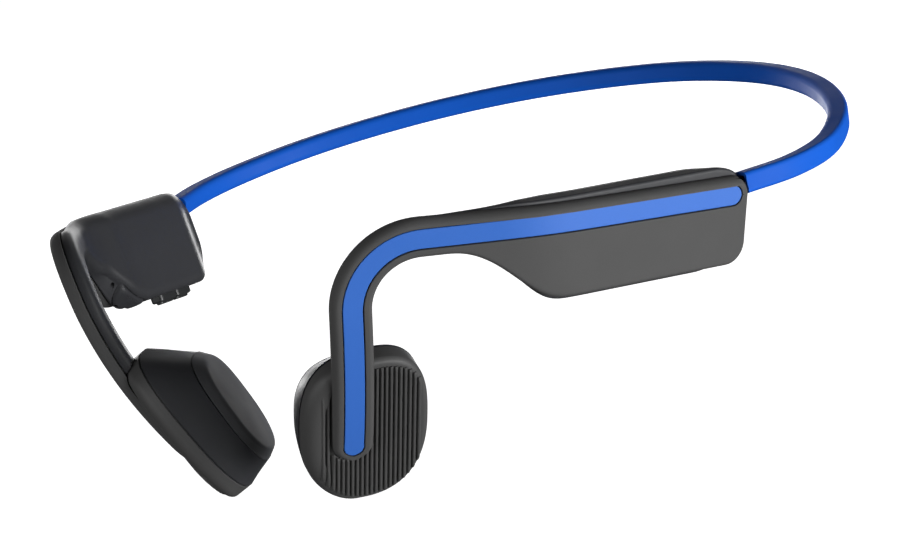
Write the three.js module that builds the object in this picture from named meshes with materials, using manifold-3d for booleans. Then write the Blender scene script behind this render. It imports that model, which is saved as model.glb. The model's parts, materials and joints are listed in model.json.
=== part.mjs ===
// Open-ear bone conduction headphones: a sprung neckband joins two arms. Each arm is a flat outer
// shell with a coloured inlay, an inner shell that bulges into an electronics pod, and a transducer
// hung at the end of an ear hook. Millimetres, worn upright: +X is the wearer's left, +Y the back of
// the head, +Z up. The origin is the middle of the whole object's box.

import * as THREE from 'three';
import { mergeGeometries, mergeVertices } from 'three/addons/utils/BufferGeometryUtils.js';
import Module from 'manifold-3d';

const wasm = await Module();
wasm.setup();
const rad = THREE.MathUtils.degToRad;

// ---- Driving dimensions ------------------------------------------------------------------------

const CENTRE_Y = 67.76; // middle of the whole object, from the hook's foot
const CENTRE_Z = -15.63;
const GAP = 0.3; // clearance between neighbouring pieces

// Arm layout seen from above: the hook part stands off the mirror plane and turns into the pod part.
const HOOK_X = 32.7;
const HOOK_HEADING = rad(40.1);
const POD_HEADING = rad(17);
const TURN_START = 22.6;
const TURN_END = 41;
const HOOK_TILT = rad(17.2);
const POD_TILT = rad(14.7);
const LEAN_START = 9; // below this the hook strap bends in towards the cheek
const LEAN = 0.0068;

// Strap along the ear hook, measured from its lower tip.
const BEND_FRONT = -0.5; // the bend's foremost point along the arm
const BEND_RADIUS = 11.4;
const DROP_LENGTH = 28.7;
const DROP_LEAN = rad(1.6);
const REAR_FALL = rad(2.8);
const STRAP_HALF = 3.3;
const TOP_HALF = [3.1, 2.85]; // the same on its outer side: down the hook, and over the top
const TOP_NARROWS = [30, 46];
const OUTER_SKIN = 2.2;
const STRAP_THICKNESS = 4.4;
const EDGE_RADIUS = 1.2;

// Pod at the rear of the arm.
const POD_END = 72.5;
const POD_SWOOP = [14.8, 37.5];
const POD_DROP = 9.55;
const POD_TAPER = 0.0245;
const POD_THICKNESS = 7.5;
const POD_SWELL = [20, 36];
const POD_TAIL = [62, 72.5];
const POD_TAIL_RISE = 3.2;
const TAIL_LOW_RADIUS = 3;
const TAIL_HIGH_RADIUS = 1.8;
const INNER_SHELL_START = 11; // along the strap; cut back to the transducer's outline
const HUMP = [-0.4, 0.95]; // how far the inner shell stands above the outer one, at its front and rear
const HUMP_RISE = [28, 66];
const BELLY = 1; // how far it reaches below it
const BELLY_RISE = [24, 38];
const FACET_LIFT = 2; // the underside slopes up to the inner face at the pod's front
const FACET_RISE = [24, 28.5];
const FACET_FADE = [31.5, 43];
const WALL = 1.4;
const CAVITY_START = 31;
const CAVITY_END = 69.5;

// Inlay stripe.
const STRIPE_HALF = 1.63;
const STRIPE_DEPTH = 0.75;
const STRIPE_INSET = 1.2; // from the strap's tip and from the pod's end

// Transducer: a rigid unit leaning against the cheek, in its own frame (x back, y up, z outwards).
const UNIT_CENTRE = new THREE.Vector3(20.7, 12.2, -31.6);
const UNIT_HEADING = rad(30.9);
const UNIT_TILT = rad(31.7);
const UNIT_ROLL = rad(3.3);
const ROUNDNESS = [2.4, 2.8]; // exponents of the rounded outline's lower and upper half
const CAP_HALF = [10.6, 14.4];
const CAP_DEPTH = 3.6;
const FACE_DEPTH = 11.4;
const FACE_HALF = [8.7, 9.3];
const FACE_DROP = -3.06;
const PAD_THICKNESS = 0.8;
const HOUSING_WALL = 1.3;
const RIB_PITCH = 0.82;
const RIB_WIDTH = 0.46;
const RIB_HEIGHT = 0.35;
const RIB_FIELD = { x: 1.1, y: -1.2, half: [8.6, 12.1] }; // the outline that the ribs fill
const HOUSING_RINGS = [ // half sizes, height and drop between the cap and the contact face
  [[10.3, 13.1], -6.2, -0.85],
  [[9.9, 11.5], -8.6, -1.95],
];
const HOUSING_END = { half: [9.5, 10.3], drop: -2.7 };
const PAD_PLUG = { half: [7.8, 8.6], rise: 1.1 };
const PAD_RINGS = [ // half sizes, height below its underside and drop
  [[9.45, 10.15], 0, -2.8],
  [[9.2, 9.85], -0.45, -2.95],
];
const SPRING_PLATE = { inner: 2.4, outer: 6.6, low: -8.95, high: -8.65 };
const VOICE_COIL = { inner: 3.9, outer: 4.7, low: -8.3, high: -6.7 };
const MAGNET = { radius: 3.4, low: -8.1, high: -6.3 };
const YOKE = { radius: 5.8, bore: 5, mouth: -8.2, floor: -6, back: -4.9 };
const BACK_PLATE = { half: [8.7, 12.4], low: -4.4, high: -3.8 };
const STRAP_TIP = { x: -3.02, y: -0.9, radius: 3.8 }; // the strap's round end over the cap, with margin

// Neckband.
const BAND_RADIUS = 1.8;
const BAND_BORE = 1.25;
const FLEX_HALF = 10;
const BAND_ENTRY = [-1.75, -2.2]; // height and depth of the band in the pod's rear wall
const BAND_KNOTS = [
  [66.0, 74.3, -0.1],
  [66.0, 84.6, 1.4],
  [61.4, 96.7, 3.7],
  [53.9, 107.6, 5.8],
  [42.7, 118.5, 7.8],
  [29.6, 126.9, 9.2],
  [15.1, 132.3, 10.0],
];
const BAND_BACK = [0, 134.2, 10.3];
const WIRE_OFFSET = 0.5;
const CORE_RADIUS = 0.4;
const CABLE_RADIUS = 0.35;

// Controls on the right pod's underside.
const PORT = { u: 36.2, w: -4.4, width: 10.2, depth: 3.3, thickness: 0.95, proud: 0.4 };
const MICROPHONE = { u: 28, w: -5, end: [31.4, -4.6, -4.4], radius: 0.45 };
const BUTTONS = [
  { name: 'volume_down', u: 50.05, width: 6.1 },
  { name: 'volume_up', u: 56.3, width: 5.6 },
];
const BUTTON_W = -4.6;
const BUTTON_DEPTH = 2.5;
const BUTTON_PROUD = 1.3;
const BUTTON_TRAVEL = 0.4;
const BUTTON_HEIGHT = 2.9;
const BUTTON_CREST = { narrower: 1.6, height: 0.7, depth: 1.5 };
const BUTTON_STEM = [2.4, 2, 1.6];
const SWITCH_BODY = [3.4, 1.2, 2.4];
const SWITCH_PLUNGER = [1.4, 0.5, 1];
const PORT_BODY = { body: [7.2, 5.2, 2.7], mouth: [6.6, 4.4, 2.1], tongue: [5.2, 3.4, 0.6], clear: 1.1 };

// What the pods hold, in the pod's own frame.
const BATTERY = { size: [26, 8.2, 3.3], at: [49, -7, -4.4] };
const BATTERY_BOARD = { size: [26, 8, 0.5], at: [51, -7.4, -2] };
const MAIN_BOARD = { size: [30, 7.6, 0.7], at: [50.5, -6.4, -2.1] };
const CAP_SWITCH = { size: [3.2, 3.2, 1], at: [0, 0, -3] };

const FINISH = {
  shell: { color: 0x3b3b3c, roughness: 0.55, metalness: 0 },
  face: { color: 0x5b5b5b, roughness: 0.6, metalness: 0 },
  stripe: { color: 0x3f70d0, roughness: 0.3, metalness: 0 },
  band: { color: 0x2257c4, roughness: 0.45, metalness: 0 },
  ribbed: { color: 0x474747, roughness: 0.6, metalness: 0 },
  pad: { color: 0x4c4d50, roughness: 0.65, metalness: 0 },
  button: { color: 0x232527, roughness: 0.5, metalness: 0 },
  steel: { color: 0xa8abb0, roughness: 0.3, metalness: 1 },
  magnet: { color: 0x8e9196, roughness: 0.25, metalness: 1 },
  copper: { color: 0xb86b3c, roughness: 0.35, metalness: 1 },
  board: { color: 0x1f5a38, roughness: 0.5, metalness: 0 },
  cell: { color: 0xb9bcc2, roughness: 0.4, metalness: 0.6 },
  wire: { color: 0x1c1c1e, roughness: 0.5, metalness: 0 },
};

// ---- Small tools -------------------------------------------------------------------------------

const smooth = (t) => THREE.MathUtils.smoothstep(t, 0, 1);
const smoother = (t) => THREE.MathUtils.smootherstep(t, 0, 1);
const share = (value, [from, to]) => (value - from) / (to - from);

function steps(from, to, count) {
  return Array.from({ length: count + 1 }, (_, i) => from + ((to - from) * i) / count);
}

function signedVolume(geometry) {
  const p = geometry.attributes.position;
  const [a, b, c] = [new THREE.Vector3(), new THREE.Vector3(), new THREE.Vector3()];
  let sum = 0;
  for (let i = 0; i < geometry.index.count; i += 3) {
    a.fromBufferAttribute(p, geometry.index.getX(i));
    b.fromBufferAttribute(p, geometry.index.getX(i + 1));
    c.fromBufferAttribute(p, geometry.index.getX(i + 2));
    sum += a.dot(b.cross(c));
  }
  return sum / 6;
}

function flip(geometry) {
  const index = Array.from(geometry.index.array);
  for (let i = 0; i < index.length; i += 3) {
    [index[i + 1], index[i + 2]] = [index[i + 2], index[i + 1]];
  }
  geometry.setIndex(index);
  return geometry;
}

// A closed body through rings of points, all with the same count and each one convex.
function loft(rings) {
  const count = rings[0].length;
  const last = (rings.length - 1) * count;
  const index = [];
  for (let i = 0; i < rings.length - 1; i += 1) {
    for (let j = 0; j < count; j += 1) {
      const a = i * count + j;
      const b = i * count + ((j + 1) % count);
      index.push(a, b, b + count, a, b + count, a + count);
    }
  }
  for (let j = 1; j < count - 1; j += 1) {
    index.push(0, j + 1, j, last, last + j, last + j + 1);
  }
  const geometry = new THREE.BufferGeometry();
  const points = rings.flat().flatMap((p) => [p.x, p.y, p.z]);
  geometry.setAttribute('position', new THREE.Float32BufferAttribute(points, 3));
  geometry.setIndex(index);
  return signedVolume(geometry) < 0 ? flip(geometry) : geometry;
}

function solid(geometry) {
  const bare = geometry.clone();
  bare.deleteAttribute('normal');
  bare.deleteAttribute('uv');
  const merged = mergeVertices(bare, 1e-4);
  const mesh = new wasm.Mesh({
    numProp: 3,
    vertProperties: Float32Array.from(merged.attributes.position.array),
    triVerts: Uint32Array.from(merged.index.array),
  });
  return new wasm.Manifold(mesh);
}

function fromSolid(body) {
  const mesh = body.getMesh();
  const geometry = new THREE.BufferGeometry();
  geometry.setAttribute('position', new THREE.Float32BufferAttribute(mesh.vertProperties, 3));
  geometry.setIndex(Array.from(mesh.triVerts));
  return geometry;
}

function cut(geometry, ...tools) {
  return fromSolid(tools.reduce((body, tool) => body.subtract(solid(tool)), solid(geometry)));
}

function join(geometry, ...others) {
  return fromSolid(others.reduce((body, other) => body.add(solid(other)), solid(geometry)));
}

function box(size, at) {
  return new THREE.BoxGeometry(...size).translate(...at);
}

// A tube with a round section of `sides` flats around a curve.
function tube(points, radius, sides, count) {
  const curve = new THREE.CatmullRomCurve3(points, false, 'centripetal');
  const outline = new THREE.Shape();
  steps(0, 2 * Math.PI, sides).slice(0, sides).forEach((angle, i) => {
    const [x, y] = [radius * Math.cos(angle), radius * Math.sin(angle)];
    if (i === 0) outline.moveTo(x, y);
    else outline.lineTo(x, y);
  });
  return new THREE.ExtrudeGeometry(outline, { steps: count, extrudePath: curve, curveSegments: 1 });
}

// Rounded rectangle between low and high across, and inner and outer in depth, as [across, depth].
// A lift raises its low inner corner.
function sectionOutline(low, high, inner, outer, outerRadius, innerRadius, lift = 0) {
  const most = Math.min((high - low) / 2, (outer - inner) / 2) * 0.98;
  const corners = [
    [low + lift, 1, inner, 1, innerRadius, Math.PI],
    [high, -1, inner, 1, innerRadius, 1.5 * Math.PI],
    [high, -1, outer, -1, outerRadius, 0],
    [low, 1, outer, -1, outerRadius, 0.5 * Math.PI],
  ];
  return corners.flatMap(([a, aSide, w, wSide, wanted, start]) => {
    const r = Math.min(wanted, most);
    const ca = a + aSide * r;
    const cw = w + wSide * r;
    const turns = wanted > 0.5 ? [0, 30, 60, 90] : [0, 90];
    return turns.map((turn) => {
      const angle = start + rad(turn);
      return [ca + r * Math.cos(angle), cw + r * Math.sin(angle)];
    });
  });
}

// ---- Arm coordinates: u back along the arm, v up, w outwards ------------------------------------

const turnShare = (u) => smooth(share(u, [TURN_START, TURN_END]));
const heading = (u) => HOOK_HEADING + (POD_HEADING - HOOK_HEADING) * turnShare(u);

function foot(u) {
  const pieces = 32;
  const point = new THREE.Vector3(HOOK_X, 0, 0);
  for (let i = 0; i < pieces; i += 1) {
    const angle = heading((u * (i + 0.5)) / pieces);
    point.x += (Math.sin(angle) * u) / pieces;
    point.y += (Math.cos(angle) * u) / pieces;
  }
  return point;
}

function armAxes(u) {
  const angle = heading(u);
  const tilt = HOOK_TILT + (POD_TILT - HOOK_TILT) * turnShare(u);
  const along = new THREE.Vector3(Math.sin(angle), Math.cos(angle), 0);
  const flatOut = new THREE.Vector3(Math.cos(angle), -Math.sin(angle), 0);
  const up = flatOut.clone().multiplyScalar(Math.sin(tilt)).setZ(Math.cos(tilt));
  const out = flatOut.clone().multiplyScalar(Math.cos(tilt)).setZ(-Math.sin(tilt));
  return { along, up, out };
}

function armPoint(u, v, w) {
  const { up, out } = armAxes(u);
  const below = Math.max(0, -v - LEAN_START) * THREE.MathUtils.clamp((30 - u) / 18, 0, 1);
  const depth = w - LEAN * below ** 2;
  return foot(u).addScaledVector(up, v).addScaledVector(out, depth);
}

// ---- Strap line: s runs from the hook's lower tip, round the bend and back to the pod's end -----

const BEND_START = Math.PI - DROP_LEAN;
const BEND_END = Math.PI / 2 - REAR_FALL;
const BEND_LENGTH = BEND_RADIUS * (BEND_START - BEND_END);
const REAR_START = DROP_LENGTH + BEND_LENGTH;

function strapAt(s) {
  const turned = THREE.MathUtils.clamp((s - DROP_LENGTH) / BEND_RADIUS, 0, BEND_START - BEND_END);
  const angle = BEND_START - turned;
  const straight = s < DROP_LENGTH ? s - DROP_LENGTH : Math.max(0, s - REAR_START);
  const across = [Math.cos(angle), Math.sin(angle)];
  return {
    u: BEND_FRONT + BEND_RADIUS * (1 + across[0]) + across[1] * straight,
    v: BEND_RADIUS * (across[1] - 1) - across[0] * straight,
    across,
  };
}

const REAR_U = strapAt(REAR_START).u;
const sAt = (u) => REAR_START + (u - REAR_U) / Math.cos(REAR_FALL);
const STRAP_END = sAt(POD_END);
const lineHeight = (u) => strapAt(sAt(u)).v;

// How far the arm reaches below the strap line, and how deep it is.
function lowerReach(u) {
  const swoop = POD_DROP * smoother(share(u, POD_SWOOP));
  return STRAP_HALF + swoop - POD_TAPER * Math.max(0, u - POD_SWOOP[1]);
}
const reachAt = (s) => (s < REAR_START ? STRAP_HALF : lowerReach(strapAt(s).u));
const topReach = (s) => TOP_HALF[0] + (TOP_HALF[1] - TOP_HALF[0]) * smooth(share(s, TOP_NARROWS));
const bellyShare = (u) => smooth(share(u, BELLY_RISE));
const humpAt = (u) => HUMP[0] + (HUMP[1] - HUMP[0]) * THREE.MathUtils.clamp(share(u, HUMP_RISE), 0, 1);
const facetLift = (u) => FACET_LIFT * smooth(share(u, FACET_RISE)) * (1 - smooth(share(u, FACET_FADE)));

function innerDepth(u) {
  const swell = (POD_THICKNESS - STRAP_THICKNESS) * smooth(share(u, POD_SWELL));
  return -STRAP_THICKNESS - swell + POD_TAIL_RISE * smooth(share(u, POD_TAIL));
}
const depthAt = (s) => (s < REAR_START ? -STRAP_THICKNESS : innerDepth(strapAt(s).u));

// What a round end of radius r takes off a half width at this distance from the end.
function endRounding(distance, r) {
  const inside = THREE.MathUtils.clamp(r - distance, 0, r);
  return r - Math.sqrt(r * r - inside * inside);
}

// A ring at s from points given as [across, depth].
function strapRing(s, outline) {
  const { u, v, across } = strapAt(s);
  return outline.map(([a, w]) => armPoint(u + a * across[0], v + a * across[1], w));
}

const STATIONS = [
  ...steps(3.5, DROP_LENGTH, 5),
  ...steps(DROP_LENGTH, REAR_START, 7).slice(1),
  ...steps(REAR_START, sAt(TURN_END), 9).slice(1),
  ...steps(sAt(TURN_END), sAt(POD_END - 4), 3).slice(1),
];
const TAIL_STATIONS = [3, 2, 1.1, 0.4, 0].map((d) => STRAP_END - d);

// ---- Arm pieces --------------------------------------------------------------------------------

function outerShellBody() {
  const tip = [0.12, 0.6, 1.5, 2.6];
  return loft([...tip, ...STATIONS, ...TAIL_STATIONS].map((s) => {
    const fromEnd = STRAP_END - s;
    const round = endRounding(s, STRAP_HALF);
    const low = -reachAt(s) + round + endRounding(fromEnd, TAIL_LOW_RADIUS);
    const high = topReach(s) - round - endRounding(fromEnd, TAIL_HIGH_RADIUS);
    return strapRing(s, sectionOutline(low, high, -OUTER_SKIN, 0, EDGE_RADIUS, 0));
  }));
}

// The inlay, or with a margin the pocket around it.
function stripeBody(margin, inner, outer) {
  const half = STRIPE_HALF + margin;
  const start = STRIPE_INSET - margin;
  const end = STRAP_END - STRIPE_INSET + margin;
  const rounding = [0.1, 0.5, 1.1];
  const middle = STATIONS.filter((s) => s < end - 2);
  const stations = [...rounding.map((d) => start + d), ...middle, ...rounding.map((d) => end - d).reverse()];
  return loft(stations.map((s) => {
    const width = half - endRounding(s - start, half) - endRounding(end - s, half);
    return strapRing(s, sectionOutline(-width, width, inner, outer, 0, 0));
  }));
}

function innerShellBody() {
  const stations = [...STATIONS.filter((s) => s > INNER_SHELL_START), ...TAIL_STATIONS];
  return loft(stations.map((s) => {
    const fromEnd = STRAP_END - s;
    const fuller = s < REAR_START ? 0 : bellyShare(strapAt(s).u);
    const hump = s < REAR_START ? HUMP[0] : humpAt(strapAt(s).u);
    const low = -reachAt(s) - BELLY * fuller + endRounding(fromEnd, TAIL_LOW_RADIUS);
    const high = topReach(s) + hump - endRounding(fromEnd, TAIL_HIGH_RADIUS + 0.6);
    const outer = -OUTER_SKIN - GAP;
    const lift = s < REAR_START ? 0 : facetLift(strapAt(s).u);
    return strapRing(s, sectionOutline(low, high, depthAt(s), outer, 0.3, 1.6, lift));
  }));
}

// The room for the electronics, shared by both shells.
function podCavity() {
  const stations = [...steps(CAVITY_START, TURN_END, 5), 55, POD_TAIL[0], CAVITY_END];
  return loft(stations.map((u) => {
    const floor = innerDepth(u) + 1.1;
    const low = WALL + facetLift(u) / 2 - lowerReach(u);
    return strapRing(sAt(u), sectionOutline(low, 2, floor, -WALL, 0, 0));
  }));
}

// The groove in the inner shell that carries the core wire and cable round the hook.
function wireGroove() {
  const stations = [...STATIONS.filter((s) => s > 10 && s < sAt(CAVITY_START)), sAt(CAVITY_START + 1)];
  const outline = sectionOutline(-1.4, 1.4, -3.6, -OUTER_SKIN + 0.1, 0, 0);
  return loft(stations.map((s) => strapRing(s, outline)));
}

function hookWire(offset, radius) {
  const stations = STATIONS.filter((s) => s > 20 && s < sAt(CAVITY_START));
  const points = [...stations, sAt(CAVITY_START + 2)].map((s) => strapRing(s, [[offset, -2.9]])[0]);
  return tube(points, radius, 5, 16);
}

// ---- Transducer --------------------------------------------------------------------------------

function roundedOutline([halfX, halfY], z, drop = 0, count = 32) {
  return steps(0, 2 * Math.PI, count).slice(0, count).map((angle) => {
    const [c, s] = [Math.cos(angle), Math.sin(angle)];
    const power = 2 / ROUNDNESS[s > 0 ? 1 : 0];
    const x = halfX * Math.sign(c) * Math.abs(c) ** power;
    const y = halfY * Math.sign(s) * Math.abs(s) ** power;
    return new THREE.Vector3(x, y + drop, z);
  });
}

const shrink = ([x, y], by) => [x - by, y - by];

// How far the rounded outline's lower or upper half reaches at x.
function outlineHeight([halfX, halfY], x, power) {
  return halfY * Math.max(0, 1 - Math.abs(x / halfX) ** power) ** (1 / power);
}

function unitMatrix() {
  const along = new THREE.Vector3(Math.sin(UNIT_HEADING), Math.cos(UNIT_HEADING), 0);
  const flatOut = new THREE.Vector3(Math.cos(UNIT_HEADING), -Math.sin(UNIT_HEADING), 0);
  const up = flatOut.clone().multiplyScalar(Math.sin(UNIT_TILT)).setZ(Math.cos(UNIT_TILT));
  const out = flatOut.clone().multiplyScalar(Math.cos(UNIT_TILT)).setZ(-Math.sin(UNIT_TILT));
  const roll = new THREE.Matrix4().makeRotationZ(UNIT_ROLL);
  return new THREE.Matrix4().makeBasis(along, up, out).multiply(roll).setPosition(UNIT_CENTRE);
}
const UNIT = unitMatrix();

const inUnit = (geometry) => geometry.applyMatrix4(UNIT);

// The space kept clear of the shells around the cap and housing.
function unitEnvelope() {
  const half = shrink(CAP_HALF, -GAP);
  return inUnit(loft([roundedOutline(half, -FACE_DEPTH - 4), roundedOutline(half, GAP)]));
}

// Raised bars up and down the cap: whole beside the strap, and only below its tip under it.
function ribs() {
  const bars = [];
  const count = Math.floor(RIB_FIELD.half[0] / RIB_PITCH);
  for (let i = -count; i <= count; i += 1) {
    const x = RIB_FIELD.x + i * RIB_PITCH;
    const [lower, upper] = ROUNDNESS.map((power) => outlineHeight(RIB_FIELD.half, i * RIB_PITCH, power));
    const beside = Math.abs(x - STRAP_TIP.x) - STRAP_TIP.radius;
    const under = STRAP_TIP.y - Math.sqrt(Math.max(0, STRAP_TIP.radius ** 2 - (x - STRAP_TIP.x) ** 2));
    const low = RIB_FIELD.y - lower;
    const high = beside < 0 ? under : RIB_FIELD.y + upper;
    bars.push(box([RIB_WIDTH, high - low, 2 * RIB_HEIGHT], [x, (high + low) / 2, 0]));
  }
  return mergeGeometries(bars);
}

function capBody() {
  const shape = loft([
    roundedOutline(CAP_HALF, -CAP_DEPTH),
    roundedOutline(CAP_HALF, -1.3),
    roundedOutline(shrink(CAP_HALF, 0.25), -0.5),
    roundedOutline(shrink(CAP_HALF, 0.8), 0),
  ]);
  const pocket = loft([
    roundedOutline(shrink(CAP_HALF, WALL), -CAP_DEPTH - 1, 0, 24),
    roundedOutline(shrink(CAP_HALF, WALL), -1.3, 0, 24),
  ]);
  return inUnit(join(cut(shape, pocket), ribs()));
}

function housingRings(inset, count) {
  const rings = [
    [CAP_HALF, -CAP_DEPTH - GAP - 0.05, 0],
    ...HOUSING_RINGS,
    [HOUSING_END.half, -FACE_DEPTH + PAD_THICKNESS + GAP, HOUSING_END.drop],
  ];
  return rings.map(([half, z, drop]) => roundedOutline(shrink(half, inset), z, drop, count));
}

function housing() {
  const inner = housingRings(HOUSING_WALL, 24);
  const lift = (ring, z) => ring.map((p) => new THREE.Vector3(p.x, p.y, p.z + z));
  const hollow = loft([lift(inner[0], 1), ...inner, lift(inner[3], -1)]);
  return inUnit(cut(loft(housingRings(0, 32)), hollow));
}

function contactPad() {
  const under = -FACE_DEPTH + PAD_THICKNESS;
  const plug = [under + PAD_PLUG.rise, under];
  return inUnit(loft([
    ...plug.map((z) => roundedOutline(PAD_PLUG.half, z, HOUSING_END.drop, 24)),
    ...PAD_RINGS.map(([half, z, drop]) => roundedOutline(half, under + z, drop, 24)),
    roundedOutline(FACE_HALF, -FACE_DEPTH, FACE_DROP, 24),
  ]));
}

// A turned piece about the transducer's axis, from [radius, height] pairs.
function turned(profile, flats = 14) {
  const points = profile.map(([r, z]) => new THREE.Vector2(r, z));
  const shape = new THREE.LatheGeometry(points, flats).rotateX(Math.PI / 2);
  return inUnit(shape.translate(0, FACE_DROP, 0));
}

const ring = ({ inner, outer, low, high }) => [
  [inner, low], [outer, low], [outer, high], [inner, high], [inner, low],
];
const disc = ({ radius, low, high }) => [[0, low], [radius, low], [radius, high], [0, high]];
const cup = ({ radius, bore, mouth, floor, back }) => [
  [0, floor], [bore, floor], [bore, mouth], [radius, mouth], [radius, back], [0, back],
];

// ---- Pod contents, in the pod's own straight frame ----------------------------------------------

function podMatrix() {
  const { along, up, out } = armAxes(POD_END);
  const origin = foot(TURN_END).addScaledVector(along, -TURN_END);
  return new THREE.Matrix4().makeBasis(along, up, out).setPosition(origin);
}
const POD = podMatrix();

const inPod = (geometry) => geometry.applyMatrix4(POD);
const podPoint = (u, v, w) => new THREE.Vector3(u, v, w).applyMatrix4(POD);

// The underside, as a distance across from the strap line and as a height.
function lowEdge(u, w) {
  const inwards = share(w, [-OUTER_SKIN - GAP, innerDepth(u)]);
  return facetLift(u) * inwards - lowerReach(u) - BELLY * bellyShare(u);
}
const undersideAt = (u, w) => lineHeight(u) + lowEdge(u, w);

// Geometry placed on the pod's underside: x along it, y up into the pod, z outwards.
function onUnderside(u, w, geometry) {
  const { along, up, out } = armAxes(u);
  const slope = Math.atan2(undersideAt(u + 2, w) - undersideAt(u - 2, w), 4);
  const place = new THREE.Matrix4().makeBasis(along, up, out);
  place.setPosition(armPoint(u, undersideAt(u, w), w)).multiply(new THREE.Matrix4().makeRotationZ(slope));
  return geometry.applyMatrix4(place);
}

// A block that follows the underside over the port, between two heights above it.
function portBlock(margin, from, to) {
  const half = PORT.width / 2 + margin;
  const [inner, outer] = [PORT.w - PORT.depth / 2 - margin, PORT.w + PORT.depth / 2 + margin];
  return loft(steps(PORT.u - half, PORT.u + half, 6).map((u) => strapRing(sAt(u), [
    [lowEdge(u, inner) + from, inner],
    [lowEdge(u, inner) + to, inner],
    [lowEdge(u, outer) + to, outer],
    [lowEdge(u, outer) + from, outer],
  ])));
}

const portCover = () => portBlock(0, -PORT.proud, PORT.thickness);
const portOpening = () => portBlock(GAP, -3, 3.9);

function chargingPort() {
  const { body, mouth, tongue, clear } = PORT_BODY;
  const edge = PORT.thickness + clear; // clear of the curved cover
  const shape = box(body, [0, edge + body[1] / 2, 0]);
  const slot = box(mouth, [0, edge + mouth[1] / 2 - 0.01, 0]);
  const blade = box(tongue, [0, edge + body[1] - 0.6 - tongue[1] / 2, 0]);
  return onUnderside(PORT.u, PORT.w, join(cut(shape, slot), blade));
}

// One slot for the two buttons, which stand side by side in it.
function buttonOpening() {
  const from = BUTTONS[0].u - BUTTONS[0].width / 2 - GAP;
  const to = BUTTONS[1].u + BUTTONS[1].width / 2 + GAP;
  const block = box([to - from, 6, BUTTON_DEPTH + 2 * GAP], [0, 0, 0]);
  return onUnderside((from + to) / 2, BUTTON_W, block);
}

function volumeButton({ u, width }) {
  const head = box([width, BUTTON_HEIGHT, BUTTON_DEPTH], [0, BUTTON_HEIGHT / 2 - BUTTON_PROUD, 0]);
  const { narrower, height, depth } = BUTTON_CREST;
  const crest = box([width - narrower, height, depth], [0, -BUTTON_PROUD, 0]);
  const stem = box(BUTTON_STEM, [0, BUTTON_HEIGHT - BUTTON_STEM[1] / 2, 0]);
  return onUnderside(u, BUTTON_W, join(head, crest, stem));
}

function volumeSwitch({ u }) {
  const tip = BUTTON_HEIGHT + BUTTON_TRAVEL + 0.1;
  const plunger = box(SWITCH_PLUNGER, [0, tip + SWITCH_PLUNGER[1] / 2, 0]);
  const body = box(SWITCH_BODY, [0, tip + SWITCH_PLUNGER[1] - 0.15 + SWITCH_BODY[1] / 2, 0]);
  return onUnderside(u, BUTTON_W, join(body, plunger));
}

// The microphone hears through a bore that runs from the sloped front of the underside to the cavity.
function microphoneBore() {
  const mouth = strapRing(sAt(MICROPHONE.u), [[lowEdge(MICROPHONE.u, MICROPHONE.w), MICROPHONE.w]])[0];
  const end = armPoint(...MICROPHONE.end);
  return tube([mouth.clone().lerp(end, -0.4), mouth, end], MICROPHONE.radius, 10, 2);
}

function microphone() {
  const [u, v, w] = MICROPHONE.end;
  const { along, up, out } = armAxes(u);
  const place = new THREE.Matrix4().makeBasis(along, up, out).setPosition(armPoint(u + 0.9, v + 0.4, w));
  return box([1.2, 1.6, 2], [0, 0, 0]).applyMatrix4(place);
}

// ---- Neckband ----------------------------------------------------------------------------------

const mirrored = (p) => new THREE.Vector3(-p.x, p.y, p.z);

function bandPoints() {
  const start = podPoint(POD_END + GAP, ...BAND_ENTRY);
  const left = [start, ...BAND_KNOTS.map((knot) => new THREE.Vector3(...knot))];
  const right = left.map(mirrored).reverse();
  return [...left, new THREE.Vector3(...BAND_BACK), ...right];
}
const BAND = new THREE.CatmullRomCurve3(bandPoints(), false, 'centripetal');
const flexEdge = () => {
  let t = 0.5;
  while (BAND.getPointAt(t).x < FLEX_HALF) t -= 0.0005;
  return t;
};
const FLEX_FROM = flexEdge();
const SEAM = GAP / BAND.getLength();

// A round-cornered square around the band's line; the same corners for every piece of it.
function bandRing(t, radius, corner) {
  const point = BAND.getPointAt(t);
  const along = BAND.getTangentAt(t);
  const up = new THREE.Vector3(0, 0, 1).addScaledVector(along, -along.z).normalize();
  const out = new THREE.Vector3().crossVectors(along, up);
  const outline = sectionOutline(-radius, radius, -radius, radius, corner, corner);
  return outline.map(([a, b]) => point.clone().addScaledVector(up, a).addScaledVector(out, b));
}

function sleeve(from, to, count) {
  const stations = steps(from, to, count);
  const outside = loft(stations.map((t) => bandRing(t, BAND_RADIUS, 1.1)));
  const bore = stations.map((t) => bandRing(t, BAND_BORE, 0.4));
  const beyond = (ring, t, by) => ring.map((p) => p.clone().addScaledVector(BAND.getTangentAt(t), by));
  const through = [beyond(bore[0], from, -0.2), ...bore.slice(1, -1), beyond(bore[count], to, 0.2)];
  return cut(outside, loft(through));
}

// A wire through the whole band and into both pods, offset up or down from the band's line.
function bandWire(offset, radius) {
  const [v, w] = BAND_ENTRY;
  const inside = [podPoint(67, v + offset, w), podPoint(POD_END - 1, v + offset, w)];
  const along = steps(0.01, 0.99, 32).map((t) => {
    const tangent = BAND.getTangentAt(t);
    const up = new THREE.Vector3(0, 0, 1).addScaledVector(tangent, -tangent.z).normalize();
    return BAND.getPointAt(t).addScaledVector(up, offset);
  });
  return tube([...inside, ...along, ...inside.map(mirrored).reverse()], radius, 5, 48);
}

function bandHole() {
  const [v, w] = BAND_ENTRY;
  const side = 2 * BAND_BORE + 0.4;
  return inPod(box([8, side, side], [POD_END, v, w]));
}

// The open clamp in the pod that the core wire's end sits in, with the cable above it.
function bandAnchor() {
  const [v, w] = BAND_ENTRY;
  const slot = box([4, 4, 1.5], [68, v + 0.8, w + 0.05]);
  return inPod(cut(box([2.4, 3, 2.1], [68, v - 1, w - 0.55]), slot));
}

// ---- Assembly ----------------------------------------------------------------------------------

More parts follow.
